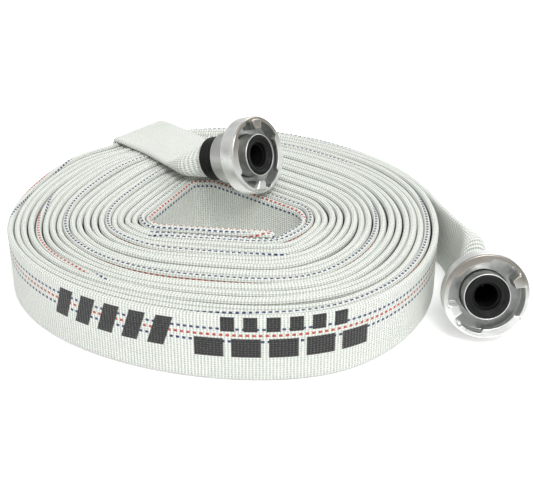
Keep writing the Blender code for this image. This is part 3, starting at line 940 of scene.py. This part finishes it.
def mix(tree, share, first, second):
    node = tree.nodes.new("ShaderNodeMix")
    node.data_type = "RGBA"
    feed(tree, node.inputs["Factor"], share)
    for socket, colour in ((node.inputs["A"], first), (node.inputs["B"], second)):
        feed(tree, socket, colour if isinstance(colour, bpy.types.NodeSocket) else (*colour, 1.0))
    return node.outputs["Result"]


def bump(tree, height, distance, strength):
    node = tree.nodes.new("ShaderNodeBump")
    node.inputs["Distance"].default_value = distance
    node.inputs["Strength"].default_value = strength
    feed(tree, node.inputs["Height"], height)
    return node.outputs["Normal"]


def uv_place(tree, name):
    node = tree.nodes.new("ShaderNodeUVMap")
    node.uv_map = name
    split = tree.nodes.new("ShaderNodeSeparateXYZ")
    tree.links.new(node.outputs["UV"], split.inputs[0])
    return node.outputs["UV"], split.outputs["X"], split.outputs["Y"]


# ---- cloth ---------------------------------------------------------------------------
def dashes(tree, run, shift):
    turn = calc(tree, "FRACT", calc(tree, "ADD", calc(tree, "DIVIDE", run, DASH_PITCH), shift))
    return inside(tree, turn, 0.5, DASH_SHARE / 2.0, DASH_SOFT)


def ink_bars(tree, run, down, first, last, upper, lower, pitch, share, slant):
    """Row of slanted bars printed between two places along the hose."""
    middle = (upper + lower) / 2.0
    leaning = calc(tree, "ADD", run, calc(tree, "MULTIPLY", calc(tree, "SUBTRACT", down, middle), slant))
    turn = calc(tree, "FRACT", calc(tree, "DIVIDE", calc(tree, "SUBTRACT", leaning, first), pitch))
    bars = inside(tree, turn, share / 2.0, share / 2.0, BAR_SOFT)
    length = inside(tree, leaning, (first + last) / 2.0, (last - first) / 2.0, INK_SOFT)
    height = inside(tree, down, middle, (lower - upper) / 2.0, 2.0 * INK_SOFT)
    return product(tree, bars, length, height)


def ink_marks(tree, run, down):
    """Printed marks on the outer face: a block of slanted bars, then two rows."""
    marks = 0.0
    for row in INK_ROWS:
        marks = calc(tree, "MAXIMUM", ink_bars(tree, run, down, *row), marks)
    return marks


def weave_height(tree, place, run, down):
    """Height of the weave: ribs of weft, finer warp, the two crossing, and fibres."""
    fibre = noise_value(tree, place, 900.0)
    crossing = calc(tree, "MULTIPLY", wave(tree, run, 2.0 * RIB_PITCH), wave(tree, down, 2.0 * WARP_PITCH))
    layers = ((wave(tree, run, RIB_PITCH), 0.42), (wave(tree, down, WARP_PITCH), 0.24),
              (crossing, 0.10), (fibre, 0.5))
    height = 0.0
    for layer, share in layers:
        height = calc(tree, "ADD", calc(tree, "MULTIPLY", layer, share), height)
    return height, fibre


def stripes_over(tree, tone, run, from_red, fibre):
    yarn = ramp(tree, fibre, 0.35, 0.6, 0.88, 1.0)
    for offset, colour, shift in STRIPES:
        line = inside(tree, from_red, offset, STRIPE_HALF, STRIPE_SOFT)
        tone = mix(tree, product(tree, line, dashes(tree, run, shift), yarn), tone, colour)
    return tone


def woven_cloth():
    material, tree, shader = new_material("woven_cloth")
    place, run, down = uv_place(tree, "cloth")
    _, _, from_red = uv_place(tree, "marks")
    height, fibre = weave_height(tree, place, run, down)

    patch = noise_value(tree, place, 18.0)
    tone = mix(tree, ramp(tree, patch, 0.3, 0.7, 0.0, 1.0), *CLOTH_TONES)
    # painted shade in the grooves between the ribs
    tone = mix(tree, ramp(tree, height, -0.45, 0.35, 0.85, 0.0), tone, GROOVE_SHADE_TONE)
    # painted shade between the strands
    gap_shade = tree.nodes.new("ShaderNodeAttribute")
    gap_shade.attribute_name = "gap_shade"
    tone = mix(tree, calc(tree, "MULTIPLY", gap_shade.outputs["Fac"], GAP_SHADE_SHARE), tone, GAP_SHADE_TONE)
    tone = stripes_over(tree, tone, run, from_red, fibre)
    ink = calc(tree, "MULTIPLY", ink_marks(tree, run, down), ramp(tree, height, -0.45, -0.15, 0.72, 1.0))
    tone = mix(tree, ink, tone, INK)

    feed(tree, shader.inputs["Base Color"], tone)
    feed(tree, shader.inputs["Roughness"], ramp(tree, fibre, 0.3, 0.7, 0.72, 0.92))
    shader.inputs["Sheen Weight"].default_value = 0.15
    feed(tree, shader.inputs["Normal"], bump(tree, height, 0.0007, 1.0))
    return material


# ---- metal and rubber ----------------------------------------------------------------
def object_place(tree):
    node = tree.nodes.new("ShaderNodeTexCoord")
    split = tree.nodes.new("ShaderNodeSeparateXYZ")
    tree.links.new(node.outputs["Object"], split.inputs[0])
    return node.outputs["Object"], split.outputs["X"], split.outputs["Y"], split.outputs["Z"]


def distance_from_axis(tree, across, up):
    squares = calc(tree, "ADD", calc(tree, "MULTIPLY", across, across), calc(tree, "MULTIPLY", up, up))
    return calc(tree, "SQRT", squares)


def cast_aluminium(name, painted_shade_strength):
    """Die-cast metal: satin skin and fine pits. Painted shade darkens the inside of the ring's
    face and the hub behind it, and a painted darker brown reflection lies on the upper part of the face."""
    material, tree, shader = new_material(name)
    place, across, up, depth = object_place(tree)
    radius = distance_from_axis(tree, across, up)
    grain = noise_value(tree, place, 420.0, 5.0)
    cloud = noise_value(tree, place, 70.0, 4.0)
    tone = mix(tree, ramp(tree, cloud, 0.35, 0.65, 0.0, 1.0), *METAL_TONES)
    # painted shade inside the ring's face
    within = product(tree, ramp(tree, radius, 0.0232, 0.0246, 1.0, 0.0),
                     ramp(tree, depth, -0.0030, -0.0004, 1.0, 0.0),
                     ramp(tree, depth, -0.0180, -0.0160, 0.0, painted_shade_strength),
                     ramp(tree, cloud, 0.38, 0.62, 0.62, 1.0))
    tone = mix(tree, within, tone, CAVITY_SHADE_TONE)
    # painted shade on the hub behind the ring
    behind = product(tree, ramp(tree, depth, -RING_LENGTH - 0.0006, -RING_LENGTH, painted_shade_strength, 0.0),
                     ramp(tree, radius, HUB_RADIUS - 0.0006, HUB_RADIUS + 0.0022, 0.85, 0.0))
    tone = mix(tree, behind, tone, HUB_SHADE_TONE)
    # painted darker brown reflection on the upper part of the face
    upper_reflection = product(tree, ramp(tree, depth, -0.0014, -0.0006, 0.0, painted_shade_strength),
                       ramp(tree, up, -0.0040, 0.0120, 0.0, 1.0))
    tone = mix(tree, upper_reflection, tone, UPPER_REFLECTION_TONE)
    speck = ramp(tree, noise_value(tree, place, 260.0, 2.0), 0.68, 0.74, 0.0, 0.6)
    tone = mix(tree, speck, tone, SPECK_TONE)
    feed(tree, shader.inputs["Base Color"], tone)
    shader.inputs["Metallic"].default_value = 1.0
    feed(tree, shader.inputs["Roughness"], ramp(tree, cloud, 0.3, 0.7, 0.30, 0.46))
    feed(tree, shader.inputs["Normal"], bump(tree, grain, 0.00018, 0.45))
    return material


def black_rubber():
    material, tree, shader = new_material("black_rubber_dusty")
    place, _, _, _ = object_place(tree)
    grain = noise_value(tree, place, 500.0, 4.0)
    dust = ramp(tree, noise_value(tree, place, 160.0, 4.0), 0.55, 0.85, 0.0, 0.3)
    feed(tree, shader.inputs["Base Color"], mix(tree, dust, RUBBER_TONE, DUST_TONE))
    feed(tree, shader.inputs["Roughness"], ramp(tree, grain, 0.3, 0.7, 0.42, 0.62))
    shader.inputs["Specular IOR Level"].default_value = 0.22
    feed(tree, shader.inputs["Normal"], bump(tree, grain, 0.0002, 0.4))
    return material


def steel_wire():
    material, tree, shader = new_material("steel_wire_drawn")
    place, _, _, _ = object_place(tree)
    scratch = noise_value(tree, place, 800.0, 3.0)
    feed(tree, shader.inputs["Base Color"], mix(tree, scratch, *WIRE_TONES))
    shader.inputs["Metallic"].default_value = 1.0
    feed(tree, shader.inputs["Roughness"], ramp(tree, scratch, 0.3, 0.7, 0.25, 0.45))
    feed(tree, shader.inputs["Normal"], bump(tree, scratch, 0.0001, 0.3))
    return material


def plain_floor_material():
    material, tree, shader = new_material("plain_floor")
    node = tree.nodes.new("ShaderNodeTexCoord")
    faint = noise_value(tree, node.outputs["Object"], 3.0, 2.0)
    feed(tree, shader.inputs["Base Color"], mix(tree, faint, *FLOOR_TONES))
    shader.inputs["Roughness"].default_value = 0.9
    shader.inputs["Emission Color"].default_value = (1.0, 1.0, 1.0, 1.0)
    shader.inputs["Emission Strength"].default_value = FLOOR_GLOW
    return material


# ---- stage ---------------------------------------------------------------------------
def build_floor():
    bpy.ops.mesh.primitive_plane_add(size=FLOOR_SIZE, location=(0.0, 0.0, FLOOR_LEVEL))
    floor = bpy.context.object
    floor.name = "floor"
    floor.data.materials.append(plain_floor_material())


def add_area_light(name, place, size, power):
    light = bpy.data.lights.new(name, "AREA")
    light.shape = "DISK"
    light.size = size
    light.energy = power
    lamp = bpy.data.objects.new(name, light)
    lamp.location = place
    lamp.rotation_euler = (-Vector(place)).to_track_quat("-Z", "Y").to_euler()
    bpy.context.scene.collection.objects.link(lamp)


def build_world():
    """White room, darker near the horizon, with a plain white backdrop."""
    world = bpy.data.worlds.new("white_studio")
    bpy.context.scene.world = world
    world.use_nodes = True
    tree = world.node_tree
    background = tree.nodes["Background"]
    look = tree.nodes.new("ShaderNodeTexCoord")
    split = tree.nodes.new("ShaderNodeSeparateXYZ")
    tree.links.new(look.outputs["Generated"], split.inputs[0])
    height = split.outputs["Z"]
    path = tree.nodes.new("ShaderNodeLightPath")
    room = mix(tree, ramp(tree, height, 0.05, 0.75, 0.0, 1.0), *ROOM_TONES)
    colour = mix(tree, path.outputs["Is Camera Ray"], room, BACKDROP_TONE)
    feed(tree, background.inputs["Color"], colour)
    background.inputs["Strength"].default_value = ROOM_STRENGTH
    bpy.context.scene.view_settings.view_transform = "Standard"


def build_camera():
    data = bpy.data.cameras.new("camera")
    data.lens = CAMERA_LENS
    data.sensor_width = SENSOR_WIDTH
    camera = bpy.data.objects.new("camera", data)
    camera.location = ROLL_CENTRE + CAMERA_FROM_ROLL
    camera.rotation_euler = (CAMERA_TILT, 0.0, 0.0)
    bpy.context.scene.collection.objects.link(camera)
    bpy.context.scene.camera = camera


# ---- assembly ------------------------------------------------------------------------
def attach_hose(roll, end_a, end_b):
    """The roll lies still; the free ends stay where they are built and are not attached to a body."""
    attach(roll, "roll")
    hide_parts("hose_jacket", "hose_lining")

    foot, _, out = back_fold_frame()
    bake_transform(end_a)
    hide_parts("end_a_jacket", "end_a_lining")

    heading = clockwise(FOLD_DIRECTION - TURN_B)
    line = strand_point(TURN_B, LAYER_B) + heading * (END_B_STRAIGHT + FLEX_GAP)
    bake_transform(end_b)
    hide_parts("end_b_jacket", "end_b_lining")


def paint_kept_nodes(nodes, material):
    """The snap rings and binding wires are shown as they are in the CAD."""
    for letter in ("a", "b"):
        for part in ("snap_ring", "binding_wire"):
            mesh = nodes[f"coupling_{letter}_{part}"].data
            mesh.materials.clear()
            mesh.materials.append(material)


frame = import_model()

CLOTH = woven_cloth()
# pitted die-cast metal, with painted shade and a painted reflection on the lug rings
CAST = cast_aluminium("cast_aluminium_pitted_with_painted_shade", RING_PAINTED_SHADE)
TURNED = cast_aluminium("turned_aluminium", 0.0)
BLACK = black_rubber()
WIRE = steel_wire()

attach_hose(*build_hose(CLOTH))
build_coupling("a", COUPLING_A_FACE, COUPLING_A_AXIS, CLAW_ANGLE_A, CAST, TURNED, BLACK)
build_coupling("b", COUPLING_B_FACE, COUPLING_B_AXIS, CLAW_ANGLE_B, CAST, TURNED, BLACK)
paint_kept_nodes(frame["nodes"], WIRE)

build_floor()
build_world()
for lamp_values in LIGHTS:
    add_area_light(*lamp_values)
build_camera()
